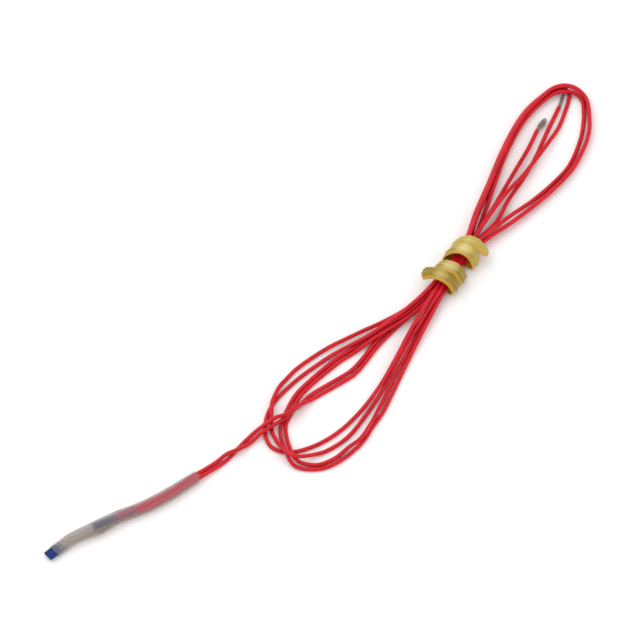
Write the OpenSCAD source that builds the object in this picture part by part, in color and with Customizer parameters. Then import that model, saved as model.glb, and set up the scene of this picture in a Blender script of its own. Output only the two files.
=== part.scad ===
// Thin-film resistance temperature detector with two insulated leads in a tied hank.
// Millimetres. X runs along the head from the chip to the leads, Z is up, the table is Z = 0.

/* [Chip] */
// length of the ceramic chip
chip_len = 3.9; // [3:0.1:6]
// width of the ceramic chip
chip_w = 1.9; // [1.5:0.05:2]
// thickness of the ceramic chip
chip_t = 0.45; // [0.3:0.05:0.45]
// thickness of the blue glaze over the chip
glaze_t = 0.1; // [0.05:0.01:0.12]
// turn of the chip in the sleeve, in degrees
chip_turn = 10; // [0:1:12]

/* [Element wires] */
// diameter of the two bare element wires
wire_d = 0.25; // [0.15:0.01:0.35]

/* [Sleeves] */
// wall of the outer sleeve
sleeve_wall = 0.16; // [0.12:0.01:0.25]
// wall of the inner sleeve
inner_wall = 0.15; // [0.1:0.01:0.25]

/* [Leads] */
// diameter over the lead insulation
lead_d = 0.85; // [0.7:0.01:0.86]
// diameter of the bare strand bundle
core_d = 0.5; // [0.4:0.01:0.55]
// length of the thin tinned end
tip_len = 3; // [2:0.1:3.4]
// width of the splayed tinned end
splay_w = 1.4; // [1:0.05:1.5]

/* [Twist tie] */
// width of the tie strip
tie_w = 2.4; // [2:0.1:2.5]
// thickness of the tie over its wire
tie_t = 0.5; // [0.45:0.01:0.52]
// diameter of the wire in the tie
tie_wire_d = 0.3; // [0.2:0.01:0.32]

/* [Hidden] */

// height of a lead that lies on the table
low = lead_d / 2 + 0.02;

// head: its length, from the chip's free end to where the leads leave the sleeve
head_len = 35.2;
front = -head_len / 2;
rear = head_len / 2;

// chip: middle of its free end, and the height of its underside
chip_half = chip_w / 2 + glaze_t;
chip_x = front + chip_half * sin(chip_turn);
chip_z = 0.7;
pad_t = 0.05;
pad_w = 0.5;
pad_len = 0.9;
pad_y = chip_w / 4;
bead_h = 0.28;
glaze_len = chip_len - pad_len - 0.1;
track_t = 0.02;
track_w = 0.08;
track_n = 9;
wire_z = chip_z + chip_t + pad_t + wire_d / 2;

// bundle in the tie: middle, direction and the spacing of its rows
bx = 88.6;
by = 16.4;
bz = 1.8;
turn = 26;
row = 0.77;
pitch = 0.88;
s_in = -6.5;
s_out = 4.5;

// a place in the tied bundle: s along it, k pitches to its left, r rows up
function slot(s, k, r) = [
  bx + s * cos(turn) - k * pitch * sin(turn),
  by + s * sin(turn) + k * pitch * cos(turn),
  bz + r * row];

// lead a, from the sleeve round the hank to its splayed end
route_a = [
  [-1.5, 0.6, 1.35], [3, 0.3, 1.35], [10, 0.1, 1.4], [rear, 0.8, 1.5],
  [20, 1.2, 0.9], [23, 1.6, 0.7], [25.5, 1.8, 1.3], [28, 1.5, 1.4],
  [31, 2, 0.6], [34, 2.5, 1.35], [38, 2.8, 1.4], [40, 3, 1.4],
  [42.4, 3.7, 1.35], [44.6, 4.6, low], [47, 5.4, low], [53, 5.8, low],
  [57, 6.1, low], [60, 7.1, low], [64, 9, low], [68.3, 10.6, low],
  [74, 12, low],
  slot(s_in, 1, -1), slot(s_out, 1, -1),
  [98, 24.2, 0.9], [104.1, 29, 0.5], [110, 33.8, low], [115.9, 37.9, low],
  [119.9, 39.9, low], [123.9, 41, low], [126.2, 41.5, low], [127.8, 41.6, low],
  [129, 40.9, low], [129.1, 39.5, low], [128.1, 38.2, low],
  [126.1, 36.3, low], [123, 33.7, 0.6], [119.9, 31.8, 1.1], [116.8, 30.1, 1.5],
  [109.8, 26.7, 1.9], [104.7, 24.7, 2.4], [97.8, 21.1, 2.7],
  slot(s_out, 0, 1), slot(s_in, 0, 1),
  [77.7, 10.7, 2.8], [71.9, 7.3, 2.1], [65.8, 3.2, 1.8], [60, -0.3, 1.2], [54.1, -2.9, low],
  [48.1, -4.8, low], [43, -5.3, low], [39, -4.8, low], [36.5, -3.9, low],
  [35, -2.6, low], [34.1, -0.8, low], [34.3, 1.2, low], [35.2, 3.3, low],
  [36.6, 5.1, low], [38.1, 6.5, low], [41.1, 8.2, low],
  [45.1, 9.5, low], [48.1, 10.2, low], [56.1, 11.2, 0.6], [60, 10.9, 1.25],
  [64, 10.8, 1.5], [68, 11, 2.3], [74, 12, 2.2],
  slot(s_in, 1, 1), slot(s_out, 1, 1),
  [98.2, 24.2, 2.5], [104.1, 29, 2.1], [110, 33.8, 2], [115.9, 37.9, 2],
  [119.9, 39.9, 2], [123.9, 41, 2.1], [126.6, 41.4, 2.2], [128.6, 40.8, 2.2],
  [130.4, 39.1, 1.9], [131.1, 37.1, 1.5], [130.9, 35.5, 1.35], [129.5, 32.5, 1.35],
  [127.7, 29.6, 1.35], [124.9, 26.8, 1.35], [120, 23.6, 1.35], [115.2, 21.6, 1.35],
  [109.1, 20, 1.4], [103.2, 18.9, 1.5],
  slot(s_out, -1.5, 0), slot(s_in, -1.5, 0),
  [78.2, 9, 1.6], [72.3, 5.1, 1], [66.3, 0.9, 0.5], [60.2, -3.6, low], [57.2, -5.7, low],
  [54.1, -7.3, low], [50.1, -9.5, low], [47.1, -10.4, low], [44.1, -10.9, low],
  [41.1, -10.8, low], [38.8, -10, low], [36.8, -8.6, low], [35.6, -7.1, 0.8],
  [35.4, -5.4, 1.4], [35.9, -3.6, 1.4], [36.4, -1.6, 0.9], [37.1, 0.4, low],
  [38.4, 2.4, low], [41, 4.6, low], [43.1, 6.1, low], [45.1, 7.2, low],
  [48.1, 8.2, low], [56.2, 10.1, low], [60.2, 10.4, low], [64.3, 10.6, 0.5],
  [68.3, 11.1, 1.35], [74, 11.6, 1.3],
  slot(s_in, 0.5, 0), slot(s_out, 0.5, 0),
  [100, 22.8, 1.8], [105, 26, 1.5], [110.1, 29.3, 1.1], [115, 32.4, 0.9], [118.9, 35.3, 0.7]];

// lead b, from the sleeve round the hank to its thin end
route_b = [
  [3.1, -0.7, 1.2], [6.5, -0.7, 1.2], [10, -0.77, 1.2], [rear, 0, 1.1],
  [20, 0.3, 0.9], [23, 0.7, 0.5], [25.5, 1.2, low], [28, 2.1, low],
  [31, 3.1, 0.5], [34, 3.5, 1.35], [38, 3.8, 1.8], [40, 3.1, 2.35],
  [42.3, 3.6, 2.35], [44.6, 4, 1.5], [47.2, 4.4, 0.5], [53, 4.7, low],
  [57, 5, low], [60, 6.1, low], [64, 8, low], [68.4, 9.6, low],
  [74, 11.1, low],
  slot(s_in, 0, -1), slot(s_out, 0, -1),
  [98.6, 23.3, low], [104.6, 28.5, 1.2], [110.3, 33.4, 1.2], [116.2, 37.5, 1.2],
  [120.1, 39.4, 1.2], [124, 40.5, 1.2], [126.4, 40.7, 1.35], [128.5, 39.9, 1.4],
  [129.9, 38.6, 1.2], [130.4, 36.7, 0.6], [129.2, 34.1, low],
  [127.4, 31.5, low], [125.2, 29, low], [119.9, 24.8, low], [115.1, 23, low],
  [109.2, 21.4, 0.8], [103, 20.1, 1.8],
  slot(s_out, -1, 1), slot(s_in, -1, 1),
  [78, 10, 2], [72.1, 6.7, 1.4], [66.1, 3.1, 0.8], [60.2, -1, low], [54.1, -4.4, low],
  [48.1, -7, low], [42.9, -7.5, low], [40.6, -7.2, 0.8], [38.8, -6.9, 1.3],
  [36.9, -6.4, 2.1], [35.8, -5.2, 2.3], [35.4, -3.6, 2.3], [35.4, -1.7, 1.5],
  [35.7, 0.2, 0.8], [36.2, 2.2, low], [37.6, 4.8, 0.6], [38.4, 6, 1.2],
  [39.3, 7.3, 1.4], [40.9, 8.7, 1.3], [43.1, 10.4, 0.6], [45.1, 11.2, low],
  [48.1, 12.2, low], [56.1, 13.1, 0.6], [60.1, 12.9, 0.8], [64.1, 12.7, 0.9],
  [68.1, 12.4, 1], [74, 12.5, 1.2],
  slot(s_in, 1.5, 0), slot(s_out, 1.5, 0),
  [97.7, 24.5, 1.7], [103.8, 29.4, 1.3], [109.7, 34.2, 1.2], [115.6, 38.3, 1.2],
  [119.7, 40.4, 1.2], [123.8, 41.5, 1.2], [127, 41.9, 1.35], [129.2, 41.2, 1.35],
  [130.8, 39.7, 1], [131.4, 37.7, 0.6], [131.2, 36.2, low], [129.9, 33.2, low],
  [128.1, 30.2, low], [125.2, 27.3, low], [120.3, 23.9, low], [115.4, 22.1, low],
  [109.5, 20.5, 0.5], [103.5, 19.3, 0.7],
  slot(s_out, -1, -1), slot(s_in, -1, -1),
  [78.1, 9.9, 0.8], [72.3, 6.1, 0.5], [66.4, 2.2, low], [60.2, -2.3, 0.5],
  [57.1, -4.6, 0.9], [53.9, -6.9, 1.25], [50, -9, 1.3], [47.1, -9.3, 0.9],
  [44.1, -9.8, low], [42.1, -9.8, low], [40.1, -9.5, low], [38.1, -8.2, low],
  [36.9, -6.9, 0.8], [36.4, -5.4, 1.4], [36.8, -3.8, 1.4], [37.5, -1.6, 0.8],
  [38.4, 0.5, low], [39.5, 2.2, low], [41.4, 3.5, low], [43.1, 4.9, low],
  [45.1, 6.2, low], [48.1, 7.3, low], [56.2, 9.1, low], [60.2, 9.5, 0.5],
  [64.1, 9.8, 1.2], [68.2, 10.1, 1.5], [74, 10.7, 1.3],
  slot(s_in, -0.5, 0), slot(s_out, -0.5, 0),
  [100, 20.4, 1.6], [105.1, 23.9, 1.2], [110.1, 26.7, 0.8], [115.2, 30, 0.5],
  [120.1, 33.8, low], [125.7, 37.9, low]];

// element wires, from their pads to the joints
wire_a = [[front + 3.1, 1, wire_z], [front + 4.4, 1.1, 1.4], [-10, 1.1, 1.4], [-5.8, 1, 1.4]];
wire_b = [[front + 3.3, 0.1, wire_z], [front + 4.5, 0.1, 1.3], [-10, 0, 1.2], [-5.8, -0.6, 1.2]];

// joints and bare strands between the element wires and the insulation
joint_route_a = [[-5.8, 1, 1.4], [-5.4, 0.9, 1.4], [-4, 0.8, 1.4], [-2.2, 0.7, 1.35]];
joint_r_a = [0.35, 0.5, 0.45, 0.32];
joint_route_b = [[-5.8, -0.6, 1.2], [-5.5, -0.6, 1.2], [-5, -0.6, 1.2], [-4.7, -0.6, 1.2]];
joint_r_b = [0.25, 0.36, 0.36, 0.27];
strand_route_a = [[-2.2, 0.7, 1.35], [-1.5, 0.6, 1.35]];
strand_route_b = [
  [-4.7, -0.6, 1.2], [-4.4, -0.6, 1.2], [-2.5, -0.4, 1.25], [0, -0.45, 1.2], [2.8, -0.7, 1.2],
  [3.1, -0.7, 1.2]];

// inner sleeve over the first joint and the end of lead a
inner_route = [[-6.2, 1, 1.4], [-4, 0.8, 1.4], [-1.5, 0.6, 1.35], [3, 0.3, 1.35]];
inner_r = 0.54;

// outer sleeve: place along X, middle in Y, half width, half height, and its roundness
chip_mid = chip_z + (chip_t + glaze_t) / 2;
grip = (chip_t + glaze_t) / 2 + sleeve_wall + 0.02;
snug = chip_half + sleeve_wall + 0.06;
sleeve = [
  [front + 1.9, 0.3, snug, grip, 0.12], [front + 2.4, 0.4, snug, grip, 0.12],
  [front + 3.2, 0.5, snug + 0.04, 0.75, 0.6], [front + 4.4, 0.6, snug + 0.06, 1.05, 0.8],
  [front + 5.6, 0.75, 1.36, 1.28, 1], [-10, 0.75, 1.35, 1.34, 1],
  [-8, 0.6, 1.42, 1.36, 1], [-6, 0.35, 1.6, 1.4, 1], [-4, 0.38, 1.55, 1.38, 1],
  [-2, 0.4, 1.4, 1.35, 1], [0, 0.3, 1.38, 1.33, 1], [2, 0.05, 1.35, 1.28, 1],
  [4, -0.2, 1.36, 1.3, 1], [6, -0.4, 1.38, 1.34, 1], [9, -0.4, 1.4, 1.36, 1],
  [12, -0.25, 1.36, 1.33, 1], [rear - 3.1, 0.05, 1.3, 1.28, 1],
  [rear - 1.4, 0.2, 1.27, 1.26, 1], [rear, 0.3, 1.27, 1.25, 1]];
sleeve_sides = 24;

// tinned ends of the leads
core_r = core_d / 2;
tip_b_from = route_b[len(route_b) - 1];
tip_b_turn = tip_b_from + [0.4, 0.29, 0];
tip_b_dir = [0.69, 0.72, 0];
splay_route = [
  [118.9, 35.3, 0.7], [119.2, 35.52, 0.69], [119.9, 35.9, 0.65], [120.7, 36.2, 0.6],
  [122.2, 36.9, 0.6]];
splay_half = [core_r, core_r + 0.1, splay_w / 2, splay_w / 2 - 0.1, 0.2];
splay_z = [core_r, core_r, 0.2, 0.18, 0.12];

// tie: along the bundle, to its left, up, and the tilt of the strip about its length
tie_low = 0.1 + tie_t / 2;
tie_path = [
  [-7, 4.1, 2.9, -28], [-6.8, 2.9, 3.9, -20], [-6.6, 1.6, 4.65, -8], [-6.35, 0, 5.05, 0],
  [-6.1, -1.7, 4.55, 0], [-6, -2.9, 3.2, 0], [-5.9, -3.25, 1.7, 0], [-5.7, -2.6, 0.7, 0],
  [-5.1, -1.2, tie_low, 0], [-4.6, 1.3, tie_low, 0],
  [-4.15, 2.5, 1.1, 0], [-4.05, 2.6, 2.8, 0], [-4.05, 1.5, 4.6, 0], [-3.9, 0, 5.25, 0],
  [-3.6, -1.7, 5, 0], [-3.5, -2.9, 3.5, 0], [-3.4, -3.3, 1.6, 0], [-2.9, -2.6, 0.7, 0],
  [-2.3, -1.2, tie_low, 0], [-1.1, 1.5, tie_low, 0],
  [-0.2, 2.7, 0.9, 0], [0.05, 2.7, 2.5, 0], [0.6, 1.4, 4.4, 0], [1.1, -0.5, 5.4, 0],
  [1.35, -2.1, 4.75, 0], [1.5, -3, 3.1, 0], [1.5, -3.3, 1.4, 0], [1.6, -2.6, 0.7, 0],
  [1.8, -1.2, tie_low, 0], [2.2, 1.3, tie_low, 0],
  [2.45, 2.6, 0.9, 0], [2.6, 2.75, 2.3, 0], [3, 1.7, 3.9, 0], [3.45, 0.1, 4.85, 0],
  [4, -1.6, 4.55, 6], [4.25, -3.2, 3.45, 20], [4.3, -4.3, 2.4, 35]];
tie_points = [for (p = tie_path) [
  bx + p[0] * cos(turn) - p[1] * sin(turn),
  by + p[0] * sin(turn) + p[1] * cos(turn), p[2]]];
tie_along = [cos(turn), sin(turn), 0];
wing_t = 0.24;
hump_w = 1;
hump_top_w = 0.5;

// directions along a route, and the two that square it
function unit(v) = v / norm(v);
function heading(p, i) =
  i == 0 ? unit(p[1] - p[0]) :
  i == len(p) - 1 ? unit(p[i] - p[i - 1]) :
  unit(unit(p[i] - p[i - 1]) + unit(p[i + 1] - p[i]));
function across(t) = unit(cross(t, [0, 0, 1]));

// rings of points round a route, with its own half width and half height at each
function oval(p, i, w, h, sides) =
  let (t = heading(p, i), a = across(t), b = cross(a, t))
  [for (k = [0 : sides - 1]) p[i] + a * w * cos(360 * k / sides) + b * h * sin(360 * k / sides)];
function round_rings(p, r, sides) = [for (i = [0 : len(p) - 1]) oval(p, i, r, r, sides)];

// faces between rings, given as triangles
function skin_faces(rings, n, from, flip) = [
  for (i = [0 : rings - 2])
    for (k = [0 : n - 1])
      let (a = from + i * n + k, b = from + i * n + (k + 1) % n, c = b + n, d = a + n)
      for (f = flip ? [[a, b, c], [a, c, d]] : [[a, c, b], [a, d, c]]) f];
function cap_faces(n, from, flip) = [
  for (k = [1 : n - 2]) flip ? [from, from + k + 1, from + k] : [from, from + k, from + k + 1]];
function rim_faces(n, outer, inner, flip) = [
  for (k = [0 : n - 1])
    let (m = (k + 1) % n)
    for (f = flip ? [[outer + k, inner + k, inner + m], [outer + k, inner + m, outer + m]] :
                    [[outer + k, inner + m, inner + k], [outer + k, outer + m, inner + m]]) f];
function flat_list(rings) = [for (r = rings) for (q = r) q];

// a closed body through rings
module solid_loft(rings) {
  n = len(rings[0]);
  m = len(rings);
  polyhedron(flat_list(rings), concat(
    skin_faces(m, n, 0, false),
    cap_faces(n, 0, false),
    cap_faces(n, (m - 1) * n, true)), convexity = 8);
}

// a walled body between outer and inner rings, open at both ends
module walled_loft(outer, inner) {
  n = len(outer[0]);
  m = len(outer);
  polyhedron(concat(flat_list(outer), flat_list(inner)), concat(
    skin_faces(m, n, 0, false),
    skin_faces(m, n, m * n, true),
    rim_faces(n, 0, m * n, false),
    rim_faces(n, (m - 1) * n, (2 * m - 1) * n, true)), convexity = 8);
}

module tube(p, r, sides = 8) {
  solid_loft(round_rings(p, r, sides));
}

module tapered(p, radii, sides = 16) {
  solid_loft([for (i = [0 : len(p) - 1]) oval(p, i, radii[i], radii[i], sides)]);
}

// the chip's own frame: X along the chip from its free end
module chip_frame() {
  translate([chip_x, 0, chip_z])
    rotate(chip_turn)
      children();
}

module block(x0, x1, y0, y1, z0, z1) {
  translate([x0, y0, z0])
    cube([x1 - x0, y1 - y0, z1 - z0]);
}

module substrate_body() {
  block(glaze_t, chip_len, -chip_w / 2, chip_w / 2, 0, chip_t);
}

module substrate() {
  color([0.9, 0.9, 0.88])
    chip_frame()
      substrate_body();
}

// the meander of the resistance film
module track_body() {
  step = (chip_w - 0.4) / (track_n - 1);
  x0 = glaze_t + 0.2;
  x1 = glaze_len - 0.2;
  y0 = 0.2 - chip_w / 2;
  for (i = [0 : track_n - 1])
    block(x0, x1, y0 + i * step - track_w / 2, y0 + i * step + track_w / 2, chip_t, chip_t + track_t);
  for (i = [0 : track_n - 2])
    block(i % 2 == 0 ? x1 - track_w : x0, i % 2 == 0 ? x1 : x0 + track_w,
      y0 + i * step, y0 + (i + 1) * step, chip_t, chip_t + track_t);
}

module platinum_track() {
  color([0.75, 0.74, 0.7])
    chip_frame()
      track_body();
}

module pad_body(side) {
  block(chip_len - pad_len, chip_len - 0.05, side * pad_y - pad_w / 2, side * pad_y + pad_w / 2,
    chip_t, chip_t + pad_t);
}

module contact_pads() {
  color([0.8, 0.78, 0.72])
    chip_frame() {
      pad_body(1);
      pad_body(-1);
    }
}

module cover_glaze() {
  color([0.16, 0.24, 0.54])
    chip_frame()
      difference() {
        block(0, glaze_len, -chip_half, chip_half, 0, chip_t + glaze_t);
        substrate_body();
        track_body();
      }
}

// glass over the pads and the ends of the element wires
module fixing_bead() {
  color([0.55, 0.6, 0.7])
    difference() {
      chip_frame()
        intersection() {
          translate([chip_len - pad_len / 2, 0, chip_t])
            scale([0.5 * pad_len, 0.46 * chip_w, bead_h])
              sphere(r = 1, $fn = 32);
          block(0, chip_len, -chip_w, chip_w, chip_t, chip_t + 1);
        }
      chip_frame() {
        pad_body(1);
        pad_body(-1);
      }
      wire_hole(wire_a);
      wire_hole(wire_b);
    }
}

// the straight hole that a wire takes through the bead
module wire_hole(p) {
  v = unit(p[1] - p[0]);
  translate(p[0] - v * 0.02)
    rotate([0, acos(v[2]), atan2(v[1], v[0])])
      cylinder(h = norm(p[1] - p[0]), r = wire_d / 2 + 0.005, $fn = 24);
}

module element_wire_a() {
  color([0.8, 0.78, 0.74])
    tube(wire_a, wire_d / 2);
}

module element_wire_b() {
  color([0.8, 0.78, 0.74])
    tube(wire_b, wire_d / 2);
}

module joint_a() {
  color([0.42, 0.43, 0.5])
    tapered(joint_route_a, joint_r_a);
}

module joint_b() {
  color([0.42, 0.38, 0.36])
    tapered(joint_route_b, joint_r_b);
}

module strands_a() {
  color([0.7, 0.68, 0.64])
    tube(strand_route_a, core_r);
}

module strands_b() {
  color([0.7, 0.68, 0.64])
    tube(strand_route_b, core_r);
}

module inner_sleeve() {
  color([0.7, 0.68, 0.68, 0.6])
    walled_loft(round_rings(inner_route, inner_r + inner_wall, 16),
      round_rings(inner_route, inner_r, 16));
}

// one ring of the outer sleeve, standing on the table; the front one is square to the chip
function bow(v, e) = sign(v) * pow(abs(v), e);
function sleeve_ring(i, wall) =
  let (q = sleeve[i], lean = i == 0 ? tan(chip_turn) : i == 1 ? tan(chip_turn) / 2 : 0)
  [for (k = [0 : sleeve_sides - 1])
    let (y = (q[2] - wall) * bow(cos(360 * k / sleeve_sides), q[4]),
         z = (q[3] - wall) * bow(sin(360 * k / sleeve_sides), q[4]))
    [q[0] - y * lean, q[1] + y, max(q[3], chip_mid) + z]];

module outer_sleeve() {
  rows = len(sleeve) - 1;
  color([0.72, 0.69, 0.66, 0.5])
    walled_loft([for (i = [0 : rows]) sleeve_ring(i, 0)],
      [for (i = [0 : rows]) sleeve_ring(i, sleeve_wall)]);
}

module lead_a() {
  color([0.85, 0.16, 0.2])
    tube(route_a, lead_d / 2);
}

module lead_b() {
  color([0.85, 0.16, 0.2])
    tube(route_b, lead_d / 2);
}

// strands flattened and spread past the end of lead a
module tinned_end_a() {
  color([0.52, 0.48, 0.44])
    solid_loft([for (i = [0 : len(splay_route) - 1])
      oval(splay_route, i, splay_half[i], splay_z[i], 12)]);
}

module tinned_end_b() {
  color([0.52, 0.48, 0.44])
    tube([tip_b_from, tip_b_turn, tip_b_turn + tip_b_dir * (tip_len - 0.5)], core_r + 0.05, 12);
}

// section of the tie strip: a hump over the wire and a thin wing on each side
tie_section = [
  [tie_w / 2, wing_t / 2], [hump_w / 2, wing_t / 2], [hump_top_w / 2, tie_t / 2],
  [-hump_top_w / 2, tie_t / 2], [-hump_w / 2, wing_t / 2], [-tie_w / 2, wing_t / 2],
  [-tie_w / 2, -wing_t / 2], [-hump_w / 2, -wing_t / 2], [-hump_top_w / 2, -tie_t / 2],
  [hump_top_w / 2, -tie_t / 2], [hump_w / 2, -wing_t / 2], [tie_w / 2, -wing_t / 2]];
tie_hole = [for (k = [0 : 11]) [cos(15 + 30 * k), sin(15 + 30 * k)] * tie_wire_d / 2];

// one ring of the strip or its wire: the section turned by the tilt and set across the path
function tie_ring(i, section) =
  let (t = heading(tie_points, i), up = unit(cross(tie_along, t)), side = cross(t, up),
       c = cos(tie_path[i][3]), s = sin(tie_path[i][3]))
  [for (q = section) tie_points[i] + side * (q[0] * c - q[1] * s) + up * (q[0] * s + q[1] * c)];

module tie_strip() {
  color([0.78, 0.68, 0.3])
    walled_loft([for (i = [0 : len(tie_points) - 1]) tie_ring(i, tie_section)],
      [for (i = [0 : len(tie_points) - 1]) tie_ring(i, tie_hole)]);
}

module tie_wire() {
  color([0.6, 0.6, 0.6])
    solid_loft([for (i = [0 : len(tie_points) - 1]) tie_ring(i, tie_hole)]);
}

substrate();
platinum_track();
contact_pads();
cover_glaze();
fixing_bead();
element_wire_a();
element_wire_b();
joint_a();
joint_b();
strands_a();
strands_b();
inner_sleeve();
outer_sleeve();
lead_a();
lead_b();
tinned_end_a();
tinned_end_b();
tie_strip();
tie_wire();
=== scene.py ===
import bmesh
import bpy
import math
import random
from mathutils import Matrix, Vector


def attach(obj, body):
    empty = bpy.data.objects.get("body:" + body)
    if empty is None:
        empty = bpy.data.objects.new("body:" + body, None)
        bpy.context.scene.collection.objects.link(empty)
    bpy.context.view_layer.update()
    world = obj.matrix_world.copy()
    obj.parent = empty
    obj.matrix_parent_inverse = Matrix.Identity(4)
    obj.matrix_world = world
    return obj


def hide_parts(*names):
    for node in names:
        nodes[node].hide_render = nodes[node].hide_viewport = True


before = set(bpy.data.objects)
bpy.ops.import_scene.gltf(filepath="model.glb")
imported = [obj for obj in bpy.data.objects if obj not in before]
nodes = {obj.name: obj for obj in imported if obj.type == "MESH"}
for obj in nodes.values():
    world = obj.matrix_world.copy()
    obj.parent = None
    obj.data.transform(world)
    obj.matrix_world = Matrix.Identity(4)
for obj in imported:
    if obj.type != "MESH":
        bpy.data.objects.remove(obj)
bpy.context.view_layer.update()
scene = bpy.context.scene
MM = 0.001
ORIGIN = Vector((0, 0, 0))
UPWARD = Vector((0, 0, 1))
REARWARD = Vector((1, 0, 0))

# Camera
VIEW_TURN = math.radians(-31.5)
VIEW_RISE = math.radians(57.3)
VIEW_CENTRE = Vector((58.27, 19.88, 0.0)) * MM
VIEW_DISTANCE = 5.0
PICTURE_SIDE = 640
PIXELS_PER_MM = 5.0
SENSOR_WIDTH = 36.0
CLIP_NEAR = 0.05
CLIP_FAR = 20.0


def make_camera():
    """The photo's view, from so far off that it shows hardly any perspective."""
    data = bpy.data.cameras.new("camera")
    camera = bpy.data.objects.new("camera", data)
    scene.collection.objects.link(camera)
    level = math.cos(VIEW_RISE)
    back = Vector((math.sin(VIEW_TURN) * level, -math.cos(VIEW_TURN) * level, math.sin(VIEW_RISE)))
    camera.location = VIEW_CENTRE + back * VIEW_DISTANCE
    camera.rotation_mode = "QUATERNION"
    camera.rotation_quaternion = (-back).to_track_quat("-Z", "Y")
    data.sensor_width = SENSOR_WIDTH
    data.lens = SENSOR_WIDTH * VIEW_DISTANCE / (PICTURE_SIDE / PIXELS_PER_MM * MM)
    data.clip_start = CLIP_NEAR
    data.clip_end = CLIP_FAR
    scene.camera = camera


make_camera()

# The head's sizes in millimetres, as in the source
head_len = 35.2
front = -head_len / 2
rear = head_len / 2
chip_w = 1.9
chip_t = 0.45
chip_turn = math.radians(10)
chip_z = 0.7
glaze_t = 0.1
glaze_len = 2.9
chip_half = chip_w / 2 + glaze_t
chip_x = front + chip_half * math.sin(chip_turn)
chip_mid = chip_z + (chip_t + glaze_t) / 2
pad_t = 0.05
wire_r = 0.125
wire_z = chip_z + chip_t + pad_t + wire_r
sleeve_wall = 0.16
inner_wall = 0.15
inner_r = 0.54
core_r = 0.25

# The leads and the tied bundle in millimetres, as in the source
lead_d = 0.85
low = lead_d / 2 + 0.02
bundle_x = 88.6
bundle_y = 16.4
bundle_z = 1.8
bundle_turn = math.radians(26)
bundle_axis = Vector((math.cos(bundle_turn), math.sin(bundle_turn), 0))
place_pitch = 0.88
row_pitch = 0.77
tie_in = -6.5
tie_out = 4.5


def by_bundle(s, across, z):
    """A point beside the bundle: s along it from its middle, that far across it, and its height."""
    return [bundle_x + s * math.cos(bundle_turn) - across * math.sin(bundle_turn),
            bundle_y + s * math.sin(bundle_turn) + across * math.cos(bundle_turn), z]


def in_tie(s, place, row):
    """A point of a run where it passes the tie, by its place across the bundle and its row."""
    return by_bundle(s, place * place_pitch, bundle_z + row * row_pitch)


route_a = [
    [-1.5, 0.6, 1.35], [3, 0.3, 1.35], [10, 0.1, 1.4], [rear, 0.8, 1.5],
    [20, 1.2, 0.9], [23, 1.6, 0.7], [25.5, 1.8, 1.3], [28, 1.5, 1.4],
    [31, 2, 0.6], [34, 2.5, 1.35], [38, 2.8, 1.4], [40, 3, 1.4],
    [42.4, 3.7, 1.35], [44.6, 4.6, low], [47, 5.4, low], [53, 5.8, low],
    [57, 6.1, low], [60, 7.1, low], [64, 9, low], [68.3, 10.6, low],
    [74, 12, low],
    in_tie(tie_in, 1, -1), in_tie(tie_out, 1, -1),
    [98, 24.2, 0.9], [104.1, 29, 0.5], [110, 33.8, low], [115.9, 37.9, low],
    [119.9, 39.9, low], [123.9, 41, low], [126.2, 41.5, low], [127.8, 41.6, low],
    [129, 40.9, low], [129.1, 39.5, low], [128.1, 38.2, low],
    [126.1, 36.3, low], [123, 33.7, 0.6], [119.9, 31.8, 1.1], [116.8, 30.1, 1.5],
    [109.8, 26.7, 1.9], [104.7, 24.7, 2.4], [97.8, 21.1, 2.7],
    in_tie(tie_out, 0, 1), in_tie(tie_in, 0, 1),
    [77.7, 10.7, 2.8], [71.9, 7.3, 2.1], [65.8, 3.2, 1.8], [60, -0.3, 1.2], [54.1, -2.9, low],
    [48.1, -4.8, low], [43, -5.3, low], [39, -4.8, low], [36.5, -3.9, low],
    [35, -2.6, low], [34.1, -0.8, low], [34.3, 1.2, low], [35.2, 3.3, low],
    [36.6, 5.1, low], [38.1, 6.5, low], [41.1, 8.2, low],
    [45.1, 9.5, low], [48.1, 10.2, low], [56.1, 11.2, 0.6], [60, 10.9, 1.25],
    [64, 10.8, 1.5], [68, 11, 2.3], [74, 12, 2.2],
    in_tie(tie_in, 1, 1), in_tie(tie_out, 1, 1),
    [98.2, 24.2, 2.5], [104.1, 29, 2.1], [110, 33.8, 2], [115.9, 37.9, 2],
    [119.9, 39.9, 2], [123.9, 41, 2.1], [126.6, 41.4, 2.2], [128.6, 40.8, 2.2],
    [130.4, 39.1, 1.9], [131.1, 37.1, 1.5], [130.9, 35.5, 1.35], [129.5, 32.5, 1.35],
    [127.7, 29.6, 1.35], [124.9, 26.8, 1.35], [120, 23.6, 1.35], [115.2, 21.6, 1.35],
    [109.1, 20, 1.4], [103.2, 18.9, 1.5],
    in_tie(tie_out, -1.5, 0), in_tie(tie_in, -1.5, 0),
    [78.2, 9, 1.6], [72.3, 5.1, 1], [66.3, 0.9, 0.5], [60.2, -3.6, low], [57.2, -5.7, low],
    [54.1, -7.3, low], [50.1, -9.5, low], [47.1, -10.4, low], [44.1, -10.9, low],
    [41.1, -10.8, low], [38.8, -10, low], [36.8, -8.6, low], [35.6, -7.1, 0.8],
    [35.4, -5.4, 1.4], [35.9, -3.6, 1.4], [36.4, -1.6, 0.9], [37.1, 0.4, low],
    [38.4, 2.4, low], [41, 4.6, low], [43.1, 6.1, low], [45.1, 7.2, low],
    [48.1, 8.2, low], [56.2, 10.1, low], [60.2, 10.4, low], [64.3, 10.6, 0.5],
    [68.3, 11.1, 1.35], [74, 11.6, 1.3],
    in_tie(tie_in, 0.5, 0), in_tie(tie_out, 0.5, 0),
    [100, 22.8, 1.8], [105, 26, 1.5], [110.1, 29.3, 1.1], [115, 32.4, 0.9], [118.9, 35.3, 0.7]]

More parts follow.
